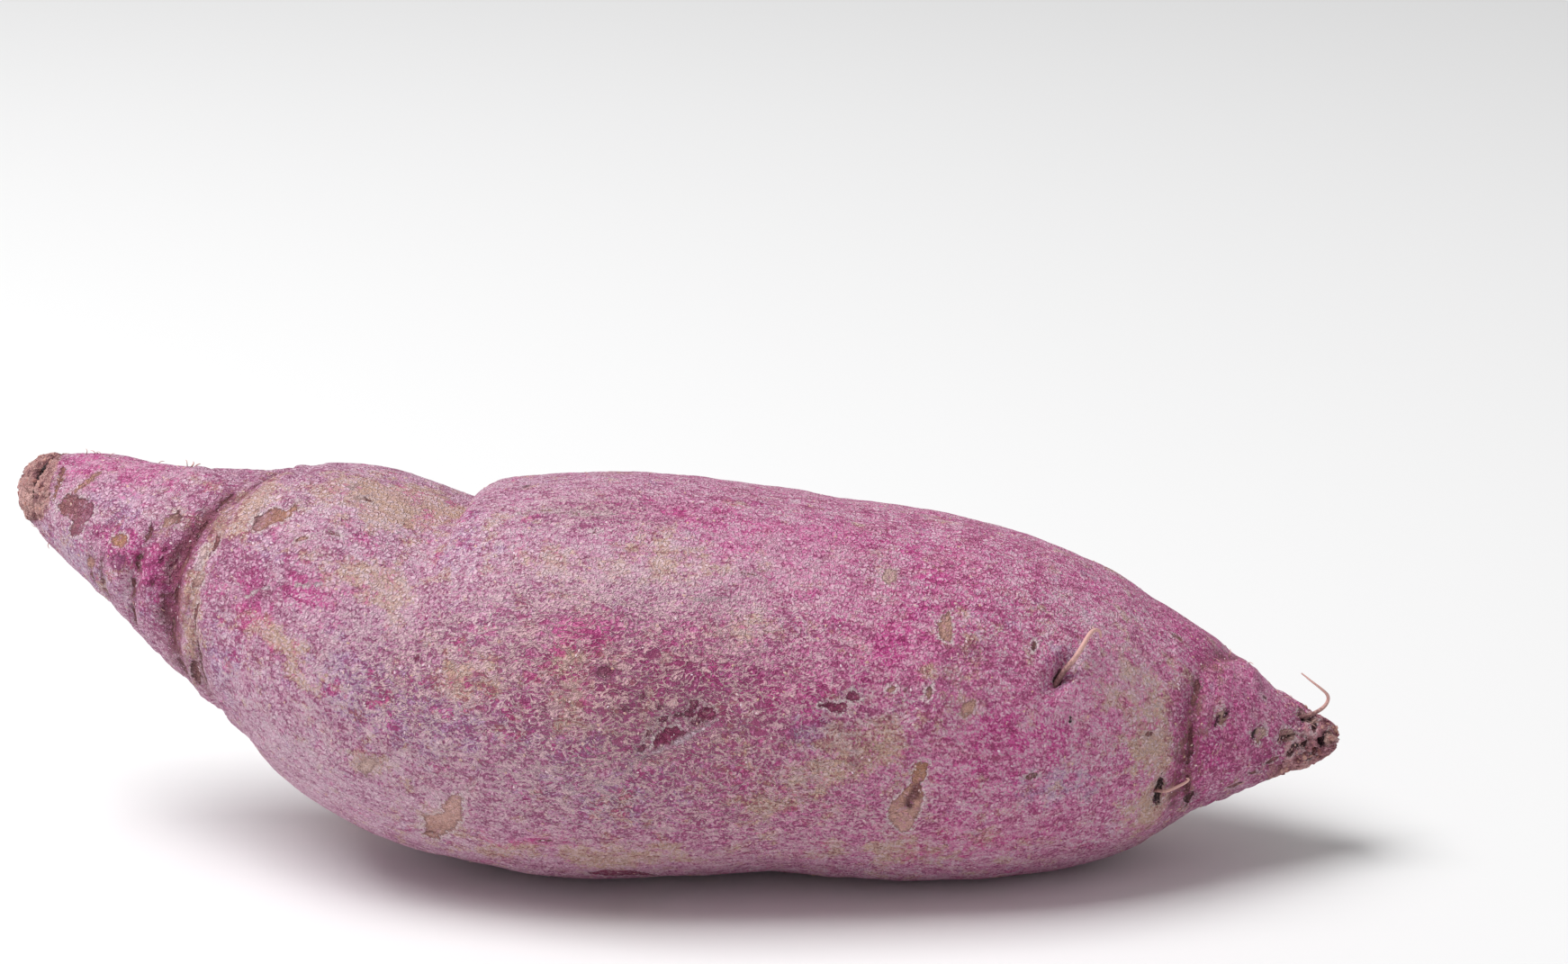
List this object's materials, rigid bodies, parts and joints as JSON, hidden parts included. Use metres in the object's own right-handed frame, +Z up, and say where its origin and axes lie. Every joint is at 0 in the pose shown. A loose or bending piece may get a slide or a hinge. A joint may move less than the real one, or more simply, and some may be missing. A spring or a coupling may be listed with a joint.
{
  "type": "purple sweet potato",
  "caption": "Whole purple-skinned sweet potato with a tapered neck, corky crown scar, creased tail and fine rootlets, lying on its belly.",
  "frame": {"origin": "bottom centre of the root's box, on the surface that the root rests on", "axes": "+X along the root from the crown scar to the tail, +Z up, the front side faces -Y"},
  "size_m": [0.1706, 0.0594, 0.0507],
  "materials": {
    "skin": "matte, finely speckled"
  },
  "bodies": {
    "root": {"tuber": "skin"}
  },
  "joints": []
}
